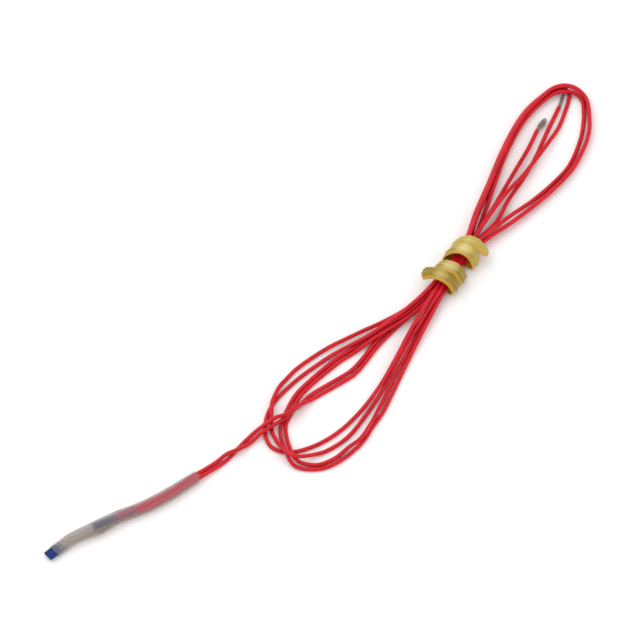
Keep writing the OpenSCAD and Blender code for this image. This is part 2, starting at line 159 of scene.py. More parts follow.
route_b = [
    [3.1, -0.7, 1.2], [6.5, -0.7, 1.2], [10, -0.77, 1.2], [rear, 0, 1.1],
    [20, 0.3, 0.9], [23, 0.7, 0.5], [25.5, 1.2, low], [28, 2.1, low],
    [31, 3.1, 0.5], [34, 3.5, 1.35], [38, 3.8, 1.8], [40, 3.1, 2.35],
    [42.3, 3.6, 2.35], [44.6, 4, 1.5], [47.2, 4.4, 0.5], [53, 4.7, low],
    [57, 5, low], [60, 6.1, low], [64, 8, low], [68.4, 9.6, low],
    [74, 11.1, low],
    in_tie(tie_in, 0, -1), in_tie(tie_out, 0, -1),
    [98.6, 23.3, low], [104.6, 28.5, 1.2], [110.3, 33.4, 1.2], [116.2, 37.5, 1.2],
    [120.1, 39.4, 1.2], [124, 40.5, 1.2], [126.4, 40.7, 1.35], [128.5, 39.9, 1.4],
    [129.9, 38.6, 1.2], [130.4, 36.7, 0.6], [129.2, 34.1, low],
    [127.4, 31.5, low], [125.2, 29, low], [119.9, 24.8, low], [115.1, 23, low],
    [109.2, 21.4, 0.8], [103, 20.1, 1.8],
    in_tie(tie_out, -1, 1), in_tie(tie_in, -1, 1),
    [78, 10, 2], [72.1, 6.7, 1.4], [66.1, 3.1, 0.8], [60.2, -1, low], [54.1, -4.4, low],
    [48.1, -7, low], [42.9, -7.5, low], [40.6, -7.2, 0.8], [38.8, -6.9, 1.3],
    [36.9, -6.4, 2.1], [35.8, -5.2, 2.3], [35.4, -3.6, 2.3], [35.4, -1.7, 1.5],
    [35.7, 0.2, 0.8], [36.2, 2.2, low], [37.6, 4.8, 0.6], [38.4, 6, 1.2],
    [39.3, 7.3, 1.4], [40.9, 8.7, 1.3], [43.1, 10.4, 0.6], [45.1, 11.2, low],
    [48.1, 12.2, low], [56.1, 13.1, 0.6], [60.1, 12.9, 0.8], [64.1, 12.7, 0.9],
    [68.1, 12.4, 1], [74, 12.5, 1.2],
    in_tie(tie_in, 1.5, 0), in_tie(tie_out, 1.5, 0),
    [97.7, 24.5, 1.7], [103.8, 29.4, 1.3], [109.7, 34.2, 1.2], [115.6, 38.3, 1.2],
    [119.7, 40.4, 1.2], [123.8, 41.5, 1.2], [127, 41.9, 1.35], [129.2, 41.2, 1.35],
    [130.8, 39.7, 1], [131.4, 37.7, 0.6], [131.2, 36.2, low], [129.9, 33.2, low],
    [128.1, 30.2, low], [125.2, 27.3, low], [120.3, 23.9, low], [115.4, 22.1, low],
    [109.5, 20.5, 0.5], [103.5, 19.3, 0.7],
    in_tie(tie_out, -1, -1), in_tie(tie_in, -1, -1),
    [78.1, 9.9, 0.8], [72.3, 6.1, 0.5], [66.4, 2.2, low], [60.2, -2.3, 0.5],
    [57.1, -4.6, 0.9], [53.9, -6.9, 1.25], [50, -9, 1.3], [47.1, -9.3, 0.9],
    [44.1, -9.8, low], [42.1, -9.8, low], [40.1, -9.5, low], [38.1, -8.2, low],
    [36.9, -6.9, 0.8], [36.4, -5.4, 1.4], [36.8, -3.8, 1.4], [37.5, -1.6, 0.8],
    [38.4, 0.5, low], [39.5, 2.2, low], [41.4, 3.5, low], [43.1, 4.9, low],
    [45.1, 6.2, low], [48.1, 7.3, low], [56.2, 9.1, low], [60.2, 9.5, 0.5],
    [64.1, 9.8, 1.2], [68.2, 10.1, 1.5], [74, 10.7, 1.3],
    in_tie(tie_in, -0.5, 0), in_tie(tie_out, -0.5, 0),
    [100, 20.4, 1.6], [105.1, 23.9, 1.2], [110.1, 26.7, 0.8], [115.2, 30, 0.5],
    [120.1, 33.8, low], [125.7, 37.9, low]]


# Meshes
def metres(points):
    return [Vector(p) * MM for p in points]


def knot_step(a, b):
    return max((b - a).length, 1e-9) ** 0.5


def smooth(points, steps, lowest=None):
    """A centripetal spline through the points, with that many steps between each two."""
    p = [2 * points[0] - points[1], *points, 2 * points[-1] - points[-2]]
    line = []
    for i in range(1, len(p) - 2):
        a, b, c, d = p[i - 1:i + 3]
        t1 = knot_step(a, b)
        t2 = t1 + knot_step(b, c)
        t3 = t2 + knot_step(c, d)
        for step in range(steps):
            t = t1 + (t2 - t1) * step / steps
            a1 = a * ((t1 - t) / t1) + b * (t / t1)
            a2 = b * ((t2 - t) / (t2 - t1)) + c * ((t - t1) / (t2 - t1))
            a3 = c * ((t3 - t) / (t3 - t2)) + d * ((t - t2) / (t3 - t2))
            b1 = a1 * ((t2 - t) / t2) + a2 * (t / t2)
            b2 = a2 * ((t3 - t) / (t3 - t1)) + a3 * ((t - t1) / (t3 - t1))
            line.append(b1 * ((t2 - t) / (t2 - t1)) + b2 * ((t - t1) / (t2 - t1)))
    line.append(points[-1].copy())
    if lowest is not None:
        for q in line:
            q.z = max(q.z, lowest)
    return line


def headings(points):
    """The direction of a line at each of its points."""
    found = []
    for i in range(len(points)):
        before = points[max(i - 1, 0)]
        after = points[min(i + 1, len(points) - 1)]
        found.append((after - before).normalized())
    return found


def link_mesh(name, data, sharp=None):
    """A smooth-shaded object of that mesh, with edges above the sharp angle kept crisp."""
    for f in data.polygons:
        f.use_smooth = True
    if sharp is not None:
        data.set_sharp_from_angle(angle=math.radians(sharp))
    obj = bpy.data.objects.new(name, data)
    scene.collection.objects.link(obj)
    return obj


def mesh_piece(name, verts, faces, sharp=None):
    data = bpy.data.meshes.new(name)
    data.from_pydata([tuple(v) for v in verts], [], faces)
    data.validate()
    data.update()
    return link_mesh(name, data, sharp)


def mark(piece, name, values):
    """Keeps one number for each point of a mesh, for its material to read."""
    layer = piece.data.attributes.new(name, "FLOAT", "POINT")
    layer.data.foreach_set("value", values)


def loft_faces(rows, n, first=0, inside=False):
    """Faces between rows of n points, turned round where they face inwards."""
    faces = []
    for i in range(rows - 1):
        for k in range(n):
            a = first + i * n + k
            b = first + i * n + (k + 1) % n
            face = [a, b, b + n, a + n]
            faces.append(face[::-1] if inside else face)
    return faces


def end_caps(rows, n, first=0):
    """The two flat ends of a loft."""
    start = [first + k for k in range(n)]
    end = [first + (rows - 1) * n + k for k in range(n)]
    return [start[::-1], end]


def loft(name, rings, sharp=40):
    """A solid skin over the rings."""
    rows = len(rings)
    n = len(rings[0])
    faces = loft_faces(rows, n) + end_caps(rows, n)
    return mesh_piece(name, [v for ring in rings for v in ring], faces, sharp)


def walled(name, outer_rings, inner_rings, sharp=60):
    """An open tube with a wall between its outer and inner rings."""
    rows = len(outer_rings)
    n = len(outer_rings[0])
    faces = loft_faces(rows, n) + loft_faces(rows, n, rows * n, True)
    last = (rows - 1) * n
    for k in range(n):
        j = (k + 1) % n
        faces.append([k, rows * n + k, rows * n + j, j])
        faces.append([last + j, rows * n + last + j, rows * n + last + k, last + k])
    return mesh_piece(name, [v for ring in outer_rings + inner_rings for v in ring], faces, sharp)


def tube_rings(points, radii, sides):
    """Rings round a line, each with its own radius."""
    rings = []
    for p, t, r in zip(points, headings(points), radii):
        across = t.cross(UPWARD).normalized()
        up = across.cross(t)
        turns = [2 * math.pi * k / sides for k in range(sides)]
        rings.append([p + across * (r * math.cos(turn)) + up * (r * math.sin(turn)) for turn in turns])
    return rings


def even_tube(points, radius, sides):
    return tube_rings(points, [radius * MM] * len(points), sides)


def dress(piece, node):
    """The piece stands for a CAD node: it joins the root body, and the node is hidden."""
    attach(piece, "root")
    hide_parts(node)
    return piece


# Leads
LEAD_STEPS = 4
LEAD_RADIUS = 0.42
LEAD_SIDES = 20
LEAD_LOWEST = 0.43


def lead_path(route):
    return smooth(metres(route), LEAD_STEPS, LEAD_LOWEST * MM)


def make_lead(node, path):
    lead = loft(node + "_insulation", even_tube(path, LEAD_RADIUS, LEAD_SIDES))
    return dress(lead, node)


path_a = lead_path(route_a)
path_b = lead_path(route_b)
lead_a = make_lead("lead_a", path_a)
lead_b = make_lead("lead_b", path_b)

# Twist tie
TIE_STEPS = 6
TIE_LOWEST = 0.3
TIE_CLEARANCE = 0.01
TIE_EDGE = 1.28
EDGE_INNER = 0.17
EDGE_OUTER = 0.06
INNER_FACE = 0.09
OUTER_FACE = -0.11
INNER_HUMP = 0.12
OUTER_HUMP = 0.22
HUMP_WIDTH = 0.34
ROLL_HEIGHT = 0.11
ROLL_PLACE = 0.98
ROLL_WIDTH = 0.19
BOW_HEIGHT = 0.16
BOW_PLACE = 1.27
# where the painted warm shade starts and how wide it grows, across the strip
EDGE_SHADE_START = 0.45
EDGE_SHADE_WIDTH = 0.6
END_STEPS = 3.0
RIPPLE = 0.02
RIPPLE_TURNS = (0.9, 0.37)
CURL = 0.03
CURL_TURN = 0.21
CURL_PLACE = 1.2
BROADER = 0.3
BROAD_ROWS = (19.6, 29.4)
BROAD_LENGTH = 0.9
WIRE_END_PLACES = (-0.5, -0.2, 0.03, 0.05)
WIRE_END_RADII = (0.15, 0.15, 0.15, 0.12)
WIRE_END_SIDES = 16
tie_low = 0.35
# each row is a place along the bundle and across it, a height, and a tilt in degrees
tie_path = [
    [-7, 4.1, 2.9, -28], [-6.8, 2.9, 3.9, -20], [-6.6, 1.6, 4.65, -8], [-6.35, 0, 5.05, 0],
    [-6.1, -1.7, 4.55, 0], [-6, -2.9, 3.2, 0], [-5.9, -3.25, 1.7, 0], [-5.7, -2.6, 0.7, 0],
    [-5.1, -1.2, tie_low, 0], [-4.6, 1.3, tie_low, 0],
    [-4.15, 2.5, 1.1, 0], [-4.05, 2.6, 2.8, 0], [-4.05, 1.5, 4.6, 0], [-3.9, 0, 5.25, 0],
    [-3.6, -1.7, 5, 0], [-3.5, -2.9, 3.5, 0], [-3.4, -3.3, 1.6, 0], [-2.9, -2.6, 0.7, 0],
    [-2.3, -1.2, tie_low, 0], [-1.1, 1.5, tie_low, 0],
    [-0.2, 2.7, 0.9, 0], [0.05, 2.7, 2.5, 0], [0.6, 1.4, 4.4, 0], [1.1, -0.5, 5.4, 0],
    [1.35, -2.1, 4.75, 0], [1.5, -3, 3.1, 0], [1.5, -3.3, 1.4, 0], [1.6, -2.6, 0.7, 0],
    [1.8, -1.2, tie_low, 0], [2.2, 1.3, tie_low, 0],
    [2.45, 2.6, 0.9, 0], [2.6, 2.75, 2.3, 0], [3, 1.7, 3.9, 0], [3.45, 0.1, 4.85, 0],
    [4, -1.6, 4.55, 6], [4.25, -3.2, 3.45, 20], [4.3, -4.3, 2.4, 35]]
tie_half_widths = [0.06, 0.18, 0.3, 0.42, 0.54, 0.66, 0.78, 0.88, 0.98, 1.08, 1.17, 1.23]


def swell(w, centre, width):
    return math.exp(-((abs(w) - centre) / width) ** 2)


def bow_across(w):
    return BOW_HEIGHT * (w / BOW_PLACE) ** 2


def inner_height(w):
    """The strip's inner face bulges over the wire."""
    return INNER_FACE + INNER_HUMP * swell(w, 0, HUMP_WIDTH) + bow_across(w)


def outer_height(w):
    """The outer face has a hump over the wire, a valley and a rolled edge on each side."""
    hump = OUTER_HUMP * swell(w, 0, HUMP_WIDTH)
    roll = ROLL_HEIGHT * swell(w, ROLL_PLACE, ROLL_WIDTH)
    return OUTER_FACE - hump - roll + bow_across(w)


tie_widths = [-w for w in tie_half_widths[::-1]] + tie_half_widths
inner_face = [(w, inner_height(w)) for w in tie_widths[::-1]]
outer_face = [(w, outer_height(w)) for w in tie_widths]
tie_section = [(TIE_EDGE, EDGE_INNER), *inner_face, (-TIE_EDGE, EDGE_INNER),
               (-TIE_EDGE, EDGE_OUTER), *outer_face, (TIE_EDGE, EDGE_OUTER)]
on_inside = [1.0] * (len(inner_face) + 1) + [0.5] + [0.0] * (len(outer_face) + 1) + [0.5]


def edge_shade_share(w, inside):
    """How much painted warm shade a point takes: all of it towards one edge of the outer face, none on the
    inner face.
    """
    if inside > 0.5:
        return 0.0
    return min(1.0, max(0.0, (-w - EDGE_SHADE_START) / EDGE_SHADE_WIDTH))


on_edge_shade = [edge_shade_share(w, inside) for inside, (w, h) in zip(on_inside, tie_section)]


def tie_tilt(i):
    """The strip's own turn about its length, in radians, spread evenly between the rows."""
    row, part = divmod(i, TIE_STEPS)
    tilt = tie_path[row][3]
    then = tie_path[min(row + 1, len(tie_path) - 1)][3]
    return math.radians(tilt + (then - tilt) * part / TIE_STEPS)


def tie_breadth(i, last):
    """The strip is rounded at both ends and pulled broad at two bends."""
    end = min(1.0, min(i, last - i) / END_STEPS)
    rounded = 0.5 + 0.5 * math.sqrt(1 - (1 - end) ** 2)
    broad = 1 + 0.05 * end
    for row in BROAD_ROWS:
        broad += BROADER * swell(i / TIE_STEPS, row, BROAD_LENGTH)
    return rounded * broad


def make_tie(line):
    rnd = random.Random(4)
    phases = [rnd.uniform(0, 6.28) for _ in range(3)]
    last = len(line) - 1
    rings = []
    for i, (p, t) in enumerate(zip(line, headings(line))):
        turned = Matrix.Rotation(-tie_tilt(i), 3, t)
        upright = bundle_axis.cross(t).normalized()
        side = turned @ t.cross(upright)
        up = turned @ upright
        ripple = sum(RIPPLE * math.sin(turn * i + phase) for turn, phase in zip(RIPPLE_TURNS, phases))
        breadth = tie_breadth(i, last)
        ring = []
        for w, h in tie_section:
            edge = ripple * (w / CURL_PLACE) ** 3 * (1 if w > 0 else 0.7)
            curl = CURL * math.sin(CURL_TURN * i + phases[2]) * (w / CURL_PLACE) ** 2
            q = p + (side * (w * breadth + 0.3 * edge) + up * (h + curl + edge)) * MM
            q.z = max(q.z, TIE_CLEARANCE * MM)
            ring.append(q)
        rings.append(ring)
    strip = loft("tie_strip_paper", rings, 60)
    mark(strip, "inside", on_inside * len(rings))
    mark(strip, "edge_shade", on_edge_shade * len(rings))
    return dress(strip, "tie_strip")


def make_wire_end(name, before, tip):
    """The cut end of the tie's wire, a small round face at the end of the strip."""
    outward = (tip - before).normalized()
    line = [tip + outward * s * MM for s in WIRE_END_PLACES]
    radii = [r * MM for r in WIRE_END_RADII]
    piece = loft(name, tube_rings(line, radii, WIRE_END_SIDES))
    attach(piece, "root")
    return piece


tie_points = [by_bundle(s, across, z) for s, across, z, tilt in tie_path]
tie_line = smooth(metres(tie_points), TIE_STEPS, TIE_LOWEST * MM)
tie = make_tie(tie_line)
wire_ends = [make_wire_end("tie_wire_end_1", tie_line[1], tie_line[0]),
             make_wire_end("tie_wire_end_2", tie_line[-2], tie_line[-1])]

# Tinned ends
STRAND_STEPS = 8
STRAND_SIDES = 10
CORE_HALF = 0.16
TIP_START = 0.55
TIP_CLOSING = 0.38


def strand_line(base, axes, length, spread, lift, u, j, rnd):
    """The middle line of strand j, which lies at u of the half width, from -1 to 1."""
    forward, side, up = axes
    reach = length * (1 - 0.1 * abs(u) - rnd.uniform(0, 0.06))
    wander = rnd.uniform(-0.05, 0.05)
    line = []
    for i in range(STRAND_STEPS + 1):
        t = i / STRAND_STEPS
        opening = math.sin(min(1.0, t * 1.5) * math.pi / 2)
        closing = 1 - TIP_CLOSING * max(0.0, (t - TIP_START) / (1 - TIP_START)) ** 2
        off = u * (CORE_HALF + (spread - CORE_HALF) * opening * closing) + wander * math.sin(3 * t)
        rise = lift * (1 - u * u) * (1 - t) + 0.02 * math.sin(5 * t + j)
        line.append(Vector(base) * MM + (forward * (reach * t) + side * off + up * rise) * MM)
    return line


def strand_fan(name, base, direction, length, spread, count, radius, lift, seed):
    """Fine strands side by side under tin, drawn as one skin with a groove between strands."""
    rnd = random.Random(seed)
    forward = Vector(direction).normalized()
    side = forward.cross(UPWARD).normalized()
    axes = forward, side, side.cross(forward)
    radii = [radius * MM] * (STRAND_STEPS - 1) + [radius * MM * 0.8] * 2
    middle = (count - 1) / 2
    verts = []
    faces = []
    for j in range(count):
        line = strand_line(base, axes, length, spread, lift, (j - middle) / middle, j, rnd)
        rings = tube_rings(line, radii, STRAND_SIDES)
        first = len(verts)
        verts += [v for ring in rings for v in ring]
        faces += loft_faces(len(rings), STRAND_SIDES, first)
        faces += end_caps(len(rings), STRAND_SIDES, first)
    return mesh_piece(name, verts, faces, 50)


end_a = strand_fan("tinned_strands_a", base=(118.7, 35.2, 0.72), direction=(0.89, 0.455, -0.03),
                   length=3.75, spread=0.46, count=9, radius=0.11, lift=0.06, seed=3)
dress(end_a, "tinned_end_a")
end_b = strand_fan("tinned_strands_b", base=(125.6, 37.8, low), direction=(0.74, 0.67, 0),
                   length=3.6, spread=0.2, count=5, radius=0.13, lift=0.05, seed=5)
dress(end_b, "tinned_end_b")

# Outer sleeve
SLEEVE_SIDES = 64
SLEEVE_STEPS = 6
SLANTED_ROWS = 2
snug = chip_half + sleeve_wall + 0.06
grip = (chip_t + glaze_t) / 2 + sleeve_wall + 0.02
# each row is a place along the head and across it, a half width, a half height and an exponent, 1 if round
sleeve = [
    [front + 1.9, 0.3, snug, grip, 0.12], [front + 2.4, 0.4, snug, grip, 0.12],
    [front + 3.2, 0.5, snug + 0.04, 0.75, 0.6], [front + 4.4, 0.6, snug + 0.06, 1.05, 0.8],
    [front + 5.6, 0.75, 1.36, 1.28, 1], [-10, 0.75, 1.35, 1.34, 1],
    [-8, 0.6, 1.42, 1.36, 1], [-6, 0.35, 1.6, 1.4, 1], [-4, 0.38, 1.55, 1.38, 1],
    [-2, 0.4, 1.4, 1.35, 1], [0, 0.3, 1.38, 1.33, 1], [2, 0.05, 1.35, 1.28, 1],
    [4, -0.2, 1.36, 1.3, 1], [6, -0.4, 1.38, 1.34, 1], [9, -0.4, 1.4, 1.36, 1],
    [12, -0.25, 1.36, 1.33, 1], [rear - 3.1, 0.05, 1.3, 1.28, 1],
    [rear - 1.4, 0.2, 1.27, 1.26, 1], [rear, 0.3, 1.27, 1.25, 1]]


def bow(v, exponent):
    return math.copysign(abs(v) ** exponent, v)


def sleeve_rings(wall):
    """Rings of the sleeve's skin, that wall within its outside. The first ones slant with the chip."""
    rows = smooth([Vector(q[:3]) for q in sleeve], SLEEVE_STEPS)
    sizes = smooth([Vector((q[3], q[4], 0)) for q in sleeve], SLEEVE_STEPS)
    rings = []
    for i, ((x, y, half_width), (half_height, exponent, _)) in enumerate(zip(rows, sizes)):
        slant = math.tan(chip_turn) * max(0.0, 1 - i / (SLANTED_ROWS * SLEEVE_STEPS))
        middle = max(half_height, chip_mid)
        ring = []
        for k in range(SLEEVE_SIDES):
            turn = 2 * math.pi * k / SLEEVE_SIDES
            dy = (half_width - wall) * bow(math.cos(turn), exponent)
            dz = (half_height - wall) * bow(math.sin(turn), exponent)
            ring.append(Vector((x - dy * slant, y + dy, middle + dz)) * MM)
        rings.append(ring)
    return rings


def make_outer_sleeve():
    """The sleeve keeps how high each strip of its wall stands on its ring, from -1 low to 1 on top."""
    skins = sleeve_rings(0), sleeve_rings(sleeve_wall)
    piece = walled("outer_sleeve_tube", *skins)
    heights = [math.sin(2 * math.pi * k / SLEEVE_SIDES) for k in range(SLEEVE_SIDES)]
    mark(piece, "height", heights * (len(skins[0]) + len(skins[1])))
    return dress(piece, "outer_sleeve")


outer_sleeve = make_outer_sleeve()

# Inner sleeve
INNER_STEPS = 6
INNER_SIDES = 32
inner_route = [[-6.2, 1, 1.4], [-4, 0.8, 1.4], [-1.5, 0.6, 1.35], [3, 0.3, 1.35]]


def make_inner_sleeve():
    line = smooth(metres(inner_route), INNER_STEPS)
    piece = walled("inner_sleeve_tube", even_tube(line, inner_r + inner_wall, INNER_SIDES),
                   even_tube(line, inner_r, INNER_SIDES))
    return dress(piece, "inner_sleeve")


inner_sleeve = make_inner_sleeve()

# Glazed chip
GLAZE_EDGE = 0.09
GLAZE_EDGE_STEPS = 4
GLAZE_EDGE_PROFILE = 0.6


def chip_point(x, y, z):
    """A point in the chip's own frame, which is turned about its front."""
    c = math.cos(chip_turn)
    s = math.sin(chip_turn)
    return Vector((chip_x + x * c - y * s, x * s + y * c, chip_z + z)) * MM


def make_chip():
    """The glaze round the chip, one block with rounded edges."""
    bm = bmesh.new()
    bmesh.ops.create_cube(bm, size=1)
    for v in bm.verts:
        x = (v.co.x + 0.5) * glaze_len
        y = v.co.y * (chip_w + 2 * glaze_t)
        z = (v.co.z + 0.5) * (chip_t + glaze_t)
        v.co = chip_point(x, y, z)
    bmesh.ops.bevel(bm, geom=bm.edges[:] + bm.verts[:], offset=GLAZE_EDGE * MM,
                    segments=GLAZE_EDGE_STEPS, profile=GLAZE_EDGE_PROFILE, affect="EDGES")
    data = bpy.data.meshes.new("chip_glaze")
    bm.to_mesh(data)
    bm.free()
    return dress(link_mesh("chip_glaze", data, 60), "cover_glaze")


chip = make_chip()

# Joints, wires and strands
BODY_STEPS = 5
BODY_SIDES = 24
# each row is the node, its slot, its route and the radii along it
body_rows = [
    ("joint_a", "solder", [[-5.8, 1, 1.4], [-5.4, 0.9, 1.4], [-4, 0.8, 1.4], [-2.2, 0.7, 1.35]],
     [0.35, 0.5, 0.45, 0.32]),
    ("joint_b", "solder", [[-5.8, -0.6, 1.2], [-5.5, -0.6, 1.2], [-5, -0.6, 1.2], [-4.7, -0.6, 1.2]],
     [0.25, 0.36, 0.36, 0.27]),
    ("element_wire_a", "platinum",
     [[front + 3.1, 1, wire_z], [front + 4.4, 1.1, 1.4], [-10, 1.1, 1.4], [-5.8, 1, 1.4]],
     [wire_r] * 4),
    ("element_wire_b", "platinum",
     [[front + 3.3, 0.1, wire_z], [front + 4.5, 0.1, 1.3], [-10, 0, 1.2], [-5.8, -0.6, 1.2]],
     [wire_r] * 4),
    ("strands_a", "tinned_copper", [[-2.2, 0.7, 1.35], [-1.5, 0.6, 1.35]], [core_r] * 2),
    ("strands_b", "tinned_copper",
     [[-4.7, -0.6, 1.2], [-4.4, -0.6, 1.2], [-2.5, -0.4, 1.25], [0, -0.45, 1.2], [2.8, -0.7, 1.2],
      [3.1, -0.7, 1.2]],
     [core_r] * 6)]


def make_body(node, slot_name, route, radii):
    """A round body whose radius changes along its route."""
    line = smooth(metres(route), BODY_STEPS)
    spread = smooth([Vector((r, 0, 0)) for r in radii], BODY_STEPS)
    piece = loft(node + "_body", tube_rings(line, [v.x * MM for v in spread], BODY_SIDES), 60)
    return dress(piece, node)


bodies = {row[0]: make_body(*row) for row in body_rows}

# Materials
NOISE_DETAIL = 4.0
RELIEF_DETAIL = 3.0
RELIEF_DEPTH = 0.04
# painted light: the leads are painted lighter and pinker inside the sleeve
PAINTED_SLEEVE_LIGHT = (0.70, 0.045, 0.14)
# painted light: red glow from the leads, laid on the sleeve
PAINTED_RED_GLOW = (0.42, 0.16, 0.175)
# painted light: lifts the shaded low walls of the sleeve
PAINTED_LIGHT_LOW_WALL = (0.68, 0.55, 0.48)
# painted light: pink glow of the red lead through the inner sleeve
PAINTED_LEAD_GLOW = (0.66, 0.22, 0.42)
PALE_YELLOW = (0.53, 0.40, 0.08)
# painted highlight for the crests of the tie
PAINTED_CREST_HIGHLIGHT = (0.83, 0.71, 0.34)
# painted warm shade towards one edge of the tie
PAINTED_EDGE_SHADE = (0.54, 0.31, 0.016)
# painted light: amber glow on the inside of the tie
PAINTED_INNER_GLOW = (0.72, 0.40, 0.04)


def set_range(span, start, end, low_value, high_value):
    span.inputs["From Min"].default_value = start
    span.inputs["From Max"].default_value = end
    span.inputs["To Min"].default_value = low_value
    span.inputs["To Max"].default_value = high_value


def mottled(name, stops, scale, rough, bump=0.0, bump_scale=0.0, rough_swing=0.0, values=None):
    """A surface whose colour wanders between the stops, with its own fine relief."""
    m = bpy.data.materials.new(name)
    m.use_nodes = True
    n = m.node_tree.nodes
    l = m.node_tree.links
    shader = n["Principled BSDF"]
    where = n.new("ShaderNodeTexCoord")
    noise = n.new("ShaderNodeTexNoise")
    noise.inputs["Scale"].default_value = scale
    noise.inputs["Detail"].default_value = NOISE_DETAIL
    ramp = n.new("ShaderNodeValToRGB")
    while len(ramp.color_ramp.elements) < len(stops):
        ramp.color_ramp.elements.new(0.5)
    for element, (position, colour) in zip(ramp.color_ramp.elements, stops):
        element.position = position
        element.color = (*colour, 1)
    l.new(where.outputs["Object"], noise.inputs["Vector"])
    l.new(noise.outputs["Fac"], ramp.inputs["Fac"])
    l.new(ramp.outputs["Color"], shader.inputs["Base Color"])
    shader.inputs["Roughness"].default_value = rough
    if rough_swing:
        swing = n.new("ShaderNodeMapRange")
        set_range(swing, 0, 1, rough - rough_swing, rough + rough_swing)
        l.new(noise.outputs["Fac"], swing.inputs["Value"])
        l.new(swing.outputs["Result"], shader.inputs["Roughness"])
    if bump:
        fine = n.new("ShaderNodeTexNoise")
        fine.inputs["Scale"].default_value = bump_scale
        fine.inputs["Detail"].default_value = RELIEF_DETAIL
        relief = n.new("ShaderNodeBump")
        relief.inputs["Strength"].default_value = bump
        relief.inputs["Distance"].default_value = RELIEF_DEPTH * MM
        l.new(where.outputs["Object"], fine.inputs["Vector"])
        l.new(fine.outputs["Fac"], relief.inputs["Height"])
        l.new(relief.outputs["Normal"], shader.inputs["Normal"])
    for key, v in (values or {}).items():
        shader.inputs[key].default_value = v
    return m


def span_of(m, attribute, start, end, low_value, high_value, kind="SMOOTHSTEP"):
    """A number kept on the mesh, spread from one range to another."""
    n = m.node_tree.nodes
    l = m.node_tree.links
    layer = n.new("ShaderNodeAttribute")
    layer.attribute_name = attribute
    span = n.new("ShaderNodeMapRange")
    span.interpolation_type = kind
    set_range(span, start, end, low_value, high_value)
    l.new(layer.outputs["Fac"], span.inputs["Value"])
    return span.outputs["Result"]


def along(m, origin, direction, start, end, most):
    """A factor that grows from 0 to the most between two distances, in millimetres, along a direction."""
    n = m.node_tree.nodes
    l = m.node_tree.links
    where = n.new("ShaderNodeTexCoord")
    shift = n.new("ShaderNodeVectorMath")
    shift.operation = "SUBTRACT"
    shift.inputs[1].default_value = origin * MM
    dot = n.new("ShaderNodeVectorMath")
    dot.operation = "DOT_PRODUCT"
    dot.inputs[1].default_value = direction
    span = n.new("ShaderNodeMapRange")
    set_range(span, start * MM, end * MM, 0, most)
    l.new(where.outputs["Object"], shift.inputs[0])
    l.new(shift.outputs["Vector"], dot.inputs[0])
    l.new(dot.outputs["Value"], span.inputs["Value"])
    return span.outputs["Result"]


def lay_over(m, factor, colour):
    """Lays a colour over the base colour, as much of it as the factor says."""
    l = m.node_tree.links
    base = m.node_tree.nodes["Principled BSDF"].inputs["Base Color"]
    before = base.links[0].from_socket
    mix = m.node_tree.nodes.new("ShaderNodeMix")
    mix.data_type = "RGBA"
    l.new(factor, mix.inputs["Factor"])
    l.new(before, mix.inputs[6])
    mix.inputs[7].default_value = (*colour, 1)
    l.new(mix.outputs[2], base)


def film(m, cover, start, end, most):
    """Opacity of a thin clear wall: its own cover, and more where it is seen edge on."""
    n = m.node_tree.nodes
    l = m.node_tree.links
    weight = n.new("ShaderNodeLayerWeight")
    span = n.new("ShaderNodeMapRange")
    set_range(span, start, end, 0, most)
    larger = n.new("ShaderNodeMath")
    larger.operation = "MAXIMUM"
    l.new(weight.outputs["Facing"], span.inputs["Value"])
    l.new(span.outputs["Result"], larger.inputs[0])
    l.new(cover, larger.inputs[1])
    l.new(larger.outputs["Value"], n["Principled BSDF"].inputs["Alpha"])


def red_insulation():
    """Glossy red plastic, with painted light inside the sleeve: lighter and pinker there, standing in for
    light scattered by the milky sleeve.
    """
    m = mottled("red_insulation",
                [(0.3, (0.51, 0.0045, 0.014)), (0.55, (0.59, 0.007, 0.019)), (0.75, (0.65, 0.0105, 0.026))],
                scale=260, rough=0.3, bump=0.02, bump_scale=1800, rough_swing=0.05,
                values={"Subsurface Weight": 0.1, "Subsurface Radius": (1.0, 0.12, 0.1),
                        "Subsurface Scale": 0.3 * MM, "Specular IOR Level": 0.25})
    # painted light: lightens and pinks the leads inside the sleeve
    lay_over(m, along(m, rear * REARWARD, -REARWARD, -0.2, 0.4, 0.35), PAINTED_SLEEVE_LIGHT)
    return m


def blue_glaze():
    return mottled("blue_glaze",
                   [(0.25, (0.005, 0.021, 0.14)), (0.6, (0.007, 0.027, 0.168)),
                    (0.8, (0.012, 0.035, 0.197))],
                   scale=900, rough=0.4, bump=0.1, bump_scale=5000, values={"Specular IOR Level": 0.18})


def milky_sleeve():
    """Milky clear plastic with painted light: a painted red glow round the leads, and low walls painted
    paler against their shade. The low walls are also more opaque.
    """
    m = mottled("sleeve", [(0.3, (0.32, 0.27, 0.24)), (0.7, (0.37, 0.315, 0.285))],
                scale=120, rough=0.28, bump=0.01, bump_scale=400, values={"Specular IOR Level": 1.0})
    # painted red glow on the sleeve round the leads
    lay_over(m, along(m, ORIGIN, REARWARD, -2, 1, 0.6), PAINTED_RED_GLOW)
    # painted light: the low walls, which lie in shade, are painted paler
    lay_over(m, span_of(m, "height", 0.6, -0.4, 0, 0.85), PAINTED_LIGHT_LOW_WALL)
    cover = span_of(m, "height", -0.7, 0.85, 0.56, 0.17, "LINEAR")
    film(m, cover, start=0.35, end=0.8, most=0.6)
    return m


def violet_sleeve():
    """The thin inner sleeve, violet-blue over the joint, with a painted pink glow over the start of lead a
    for the red lead's light through it.
    """
    m = mottled("inner_sleeve", [(0.3, (0.10, 0.11, 0.36)), (0.7, (0.13, 0.14, 0.42))],
                scale=120, rough=0.4, bump=0.03, bump_scale=500, values={"Alpha": 0.22})
    # painted pink glow where lead a lies inside the inner sleeve
    lay_over(m, along(m, ORIGIN, REARWARD, -2.2, -1.2, 0.9), PAINTED_LEAD_GLOW)
    return m


